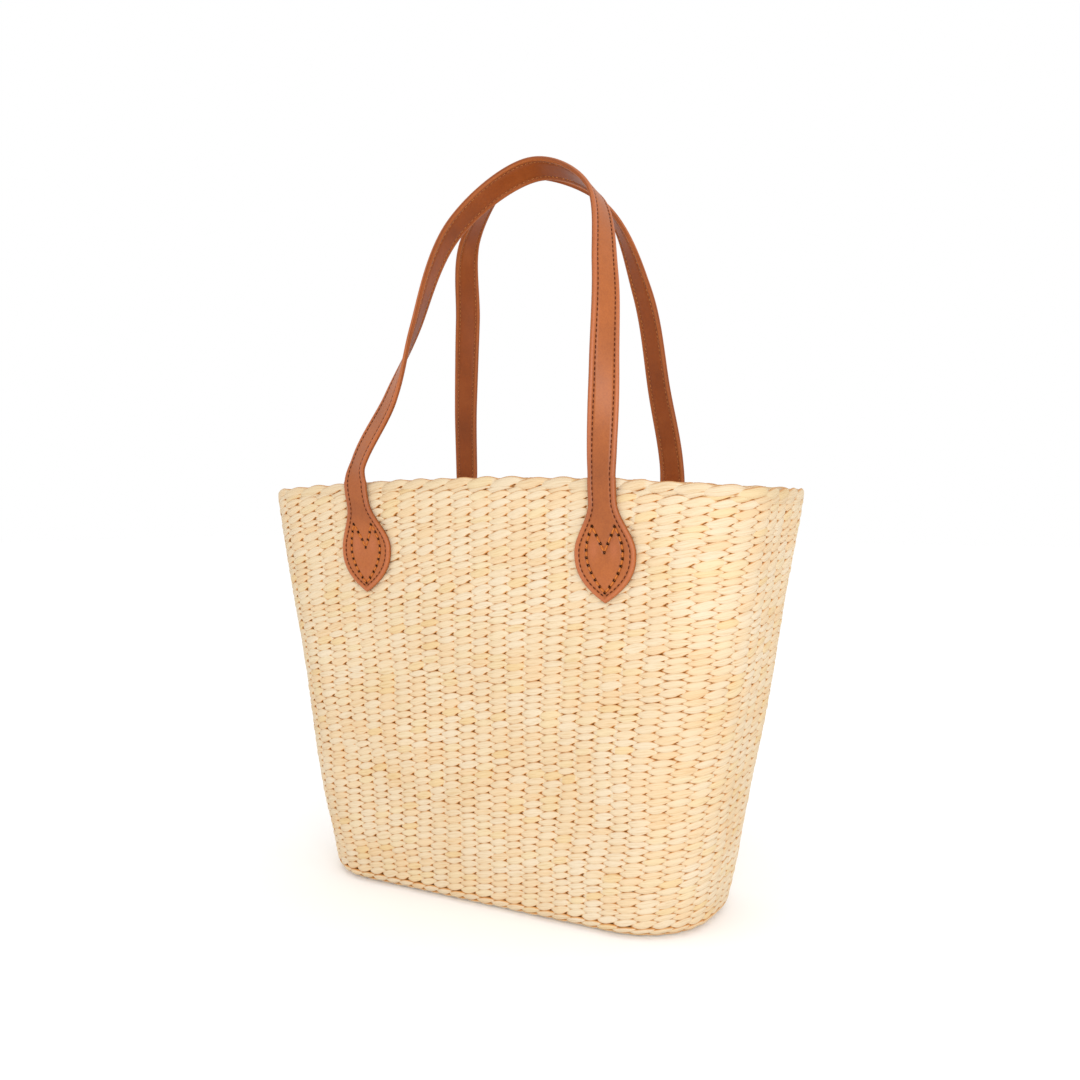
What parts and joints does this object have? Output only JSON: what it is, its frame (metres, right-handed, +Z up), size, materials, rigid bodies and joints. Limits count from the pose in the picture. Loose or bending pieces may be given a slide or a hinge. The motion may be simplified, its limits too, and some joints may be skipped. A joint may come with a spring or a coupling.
{
  "type": "beach bag",
  "caption": "Open woven straw beach bag, tapered to a flat base, with a twisted rope rim and two stitched leather shoulder handles that fold down.",
  "frame": {"origin": "centre of the flat base, on the surface it stands on", "axes": "+Z up, X along the long sides, -Y the front long side, +Y the back one"},
  "size_m": [0.4436, 0.1722, 0.5925],
  "materials": {
    "straw_weave": "natural",
    "straw_stakes": "natural",
    "straw_rope": "natural",
    "leather": "satin",
    "leather_lining": "satin",
    "sewing_thread": "waxed"
  },
  "bodies": {
    "basket": {"woven_base": "straw_weave", "woven_wall": "straw_weave", "stakes": "straw_stakes", "rim_rope": "straw_rope", "front_left_tab": "leather", "front_left_tab_lining": "leather_lining", "front_left_tab_thread": "sewing_thread", "front_right_tab": "leather", "front_right_tab_lining": "leather_lining", "front_right_tab_thread": "sewing_thread", "back_left_tab": "leather", "back_left_tab_lining": "leather_lining", "back_left_tab_thread": "sewing_thread", "back_right_tab": "leather", "back_right_tab_lining": "leather_lining", "back_right_tab_thread": "sewing_thread"},
    "front_handle": {"front_handle_strap": "leather", "front_handle_lining": "leather_lining", "front_handle_stitching": "sewing_thread"},
    "back_handle": {"back_handle_strap": "leather", "back_handle_lining": "leather_lining", "back_handle_stitching": "sewing_thread"}
  },
  "joints": [
    {"name": "front_handle_fold", "type": "hinge", "parent": "basket", "child": "front_handle", "pos_m": [0, -0.0845, 0.328], "axis": [1, 0, 0], "range_deg": [-3, 165]},
    {"name": "back_handle_fold", "type": "hinge", "parent": "basket", "child": "back_handle", "pos_m": [0, 0.0845, 0.328], "axis": [-1, 0, 0], "range_deg": [-3, 165]}
  ]
}
